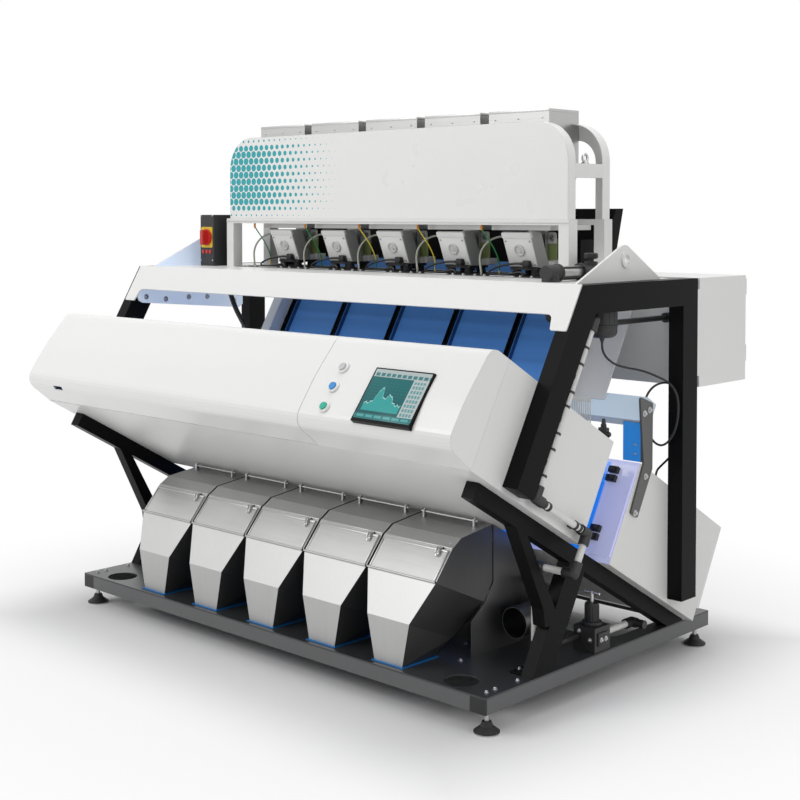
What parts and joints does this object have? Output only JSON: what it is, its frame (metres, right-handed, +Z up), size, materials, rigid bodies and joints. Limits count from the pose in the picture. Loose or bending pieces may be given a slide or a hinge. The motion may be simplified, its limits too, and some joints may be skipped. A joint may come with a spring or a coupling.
{
  "type": "optical colour sorter",
  "caption": "Chute-type optical colour sorter: feed boxes and vibrating trays over sloped chutes, two tilted optical housings, steel outlet hoppers, frame, deck and levelling feet.",
  "frame": {"origin": "centre of the machine's footprint box, on the floor", "axes": "+X to the machine's right seen from the front, +Y to its rear, +Z up"},
  "size_m": [2.42, 1.6694, 2.022],
  "materials": {
    "white_paint": "smooth white powder coat",
    "pale_grey_paint": "pale grey powder coat",
    "grey_paint": "mid grey powder coat",
    "black_paint": "satin black powder coat",
    "base_grey": "dark grey powder coat",
    "deck_grey": "dark grey powder coat",
    "stainless": "brushed stainless sheet",
    "steel": "plated steel",
    "dark_metal": "black anodised",
    "blue_white": "white paint in blue light",
    "chute_blue": "blue anodised, satin",
    "gasket_blue": "blue silicone",
    "rubber": "black rubber",
    "black_plastic": "black moulded",
    "red_plastic": "red moulded",
    "pipe_white": "white plastic pipe",
    "screen": "lit touch screen",
    "button_grey": "grey moulded",
    "button_blue": "blue moulded",
    "button_green": "green moulded",
    "window": "clear glass in blue light",
    "cable_black": "black sheath",
    "cable_grey": "grey sheath"
  },
  "bodies": {
    "machine": {"base_frame": "base_grey", "base_deck": "deck_grey", "rail_end_caps": "black_plastic", "levelling_feet": "black_plastic", "foot_studs": "steel", "lower_frames": "black_paint", "front_housing": "white_paint", "control_panel": "white_paint", "touch_screen": "screen", "camera_modules": "dark_metal", "viewing_windows": "window", "rear_housing": "white_paint", "light_beam": "blue_white", "beam_arms": "grey_paint", "ejector_bank": "dark_metal", "hopper_gaskets": "gasket_blue", "hang_rods": "steel", "reject_duct": "grey_paint", "chutes": "chute_blue", "chute_ribs": "black_paint", "crossbeam": "white_paint", "vibrator_drives": "white_paint", "vibrator_mounts": "rubber", "feed_boxes": "stainless", "hood_panels": "white_paint", "hood_frame": "pale_grey_paint", "upper_frames": "black_paint", "lifting_lugs": "white_paint", "control_cabinet": "white_paint", "isolator_box": "black_plastic", "air_filter": "black_plastic", "air_pipes": "pipe_white", "pipe_fittings": "black_plastic", "regulator": "black_plastic", "sensor_cable": "cable_black", "air_hose": "cable_black", "drive_leads": "cable_grey", "outlet_hopper_1": "stainless", "outlet_hopper_2": "stainless", "outlet_hopper_3": "stainless", "outlet_hopper_4": "stainless", "outlet_hopper_5": "stainless"},
    "front_cover": {"front_cover": "white_paint"},
    "rear_door": {"rear_door": "white_paint"},
    "cabinet_door": {"cabinet_door": "white_paint"},
    "isolator_handle": {"isolator_handle": "red_plastic"},
    "regulator_handle": {"regulator_handle": "steel"},
    "button_grey": {"button_grey": "button_grey"},
    "button_blue": {"button_blue": "button_blue"},
    "button_green": {"button_green": "button_green"},
    "hopper_lid_1": {"hopper_lid_1": "stainless"},
    "feeder_tray_1": {"feeder_tray_1": "stainless"},
    "hopper_lid_2": {"hopper_lid_2": "stainless"},
    "feeder_tray_2": {"feeder_tray_2": "stainless"},
    "hopper_lid_3": {"hopper_lid_3": "stainless"},
    "feeder_tray_3": {"feeder_tray_3": "stainless"},
    "hopper_lid_4": {"hopper_lid_4": "stainless"},
    "feeder_tray_4": {"feeder_tray_4": "stainless"},
    "hopper_lid_5": {"hopper_lid_5": "stainless"},
    "feeder_tray_5": {"feeder_tray_5": "stainless"}
  },
  "joints": [
    {"name": "front_cover_hinge", "type": "hinge", "parent": "machine", "child": "front_cover", "pos_m": [0, -0.54001, 1.1948], "axis": [-1, 0, 0], "range_deg": [0, 80]},
    {"name": "rear_door_hinge", "type": "hinge", "parent": "machine", "child": "rear_door", "pos_m": [0, 0.72179, 0.4663], "axis": [1, 0, 0], "range_deg": [0, 110]},
    {"name": "cabinet_door_hinge", "type": "hinge", "parent": "machine", "child": "cabinet_door", "pos_m": [1.204, 0.79873, 1.21], "axis": [0, 0, -1], "range_deg": [0, 110]},
    {"name": "isolator_turn", "type": "hinge", "parent": "machine", "child": "isolator_handle", "pos_m": [-1.0225, 0.00173, 1.537], "axis": [0, -1, 0], "range_deg": [0, 90]},
    {"name": "regulator_turn", "type": "hinge", "parent": "machine", "child": "regulator_handle", "pos_m": [1.05, 0.03673, 0.31], "axis": [0, 0, 1], "continuous": true},
    {"name": "button_grey_press", "type": "slide", "parent": "machine", "child": "button_grey", "axis": [0, 0.793, -0.6092], "range_m": [0, 0.004], "stiffness_N_per_m": 1500, "springref_m": -0.002},
    {"name": "button_blue_press", "type": "slide", "parent": "machine", "child": "button_blue", "axis": [0, 0.793, -0.6092], "range_m": [0, 0.004], "stiffness_N_per_m": 1500, "springref_m": -0.002},
    {"name": "button_green_press", "type": "slide", "parent": "machine", "child": "button_green", "axis": [0, 0.793, -0.6092], "range_m": [0, 0.004], "stiffness_N_per_m": 1500, "springref_m": -0.002},
    {"name": "hopper_lid_1_hinge", "type": "hinge", "parent": "machine", "child": "hopper_lid_1", "pos_m": [-0.65, -0.50858, 0.42174], "axis": [1, 0, 0], "range_deg": [0, 115]},
    {"name": "feeder_tray_1_shake", "type": "slide", "parent": "machine", "child": "feeder_tray_1", "axis": [0, 1, 0], "range_m": [-0.002, 0.002], "stiffness_N_per_m": 40000},
    {"name": "hopper_lid_2_hinge", "type": "hinge", "parent": "machine", "child": "hopper_lid_2", "pos_m": [-0.325, -0.50858, 0.42174], "axis": [1, 0, 0], "range_deg": [0, 115]},
    {"name": "feeder_tray_2_shake", "type": "slide", "parent": "machine", "child": "feeder_tray_2", "axis": [0, 1, 0], "range_m": [-0.002, 0.002], "stiffness_N_per_m": 40000},
    {"name": "hopper_lid_3_hinge", "type": "hinge", "parent": "machine", "child": "hopper_lid_3", "pos_m": [0, -0.50858, 0.42174], "axis": [1, 0, 0], "range_deg": [0, 115]},
    {"name": "feeder_tray_3_shake", "type": "slide", "parent": "machine", "child": "feeder_tray_3", "axis": [0, 1, 0], "range_m": [-0.002, 0.002], "stiffness_N_per_m": 40000},
    {"name": "hopper_lid_4_hinge", "type": "hinge", "parent": "machine", "child": "hopper_lid_4", "pos_m": [0.325, -0.50858, 0.42174], "axis": [1, 0, 0], "range_deg": [0, 115]},
    {"name": "feeder_tray_4_shake", "type": "slide", "parent": "machine", "child": "feeder_tray_4", "axis": [0, 1, 0], "range_m": [-0.002, 0.002], "stiffness_N_per_m": 40000},
    {"name": "hopper_lid_5_hinge", "type": "hinge", "parent": "machine", "child": "hopper_lid_5", "pos_m": [0.65, -0.50858, 0.42174], "axis": [1, 0, 0], "range_deg": [0, 115]},
    {"name": "feeder_tray_5_shake", "type": "slide", "parent": "machine", "child": "feeder_tray_5", "axis": [0, 1, 0], "range_m": [-0.002, 0.002], "stiffness_N_per_m": 40000}
  ]
}
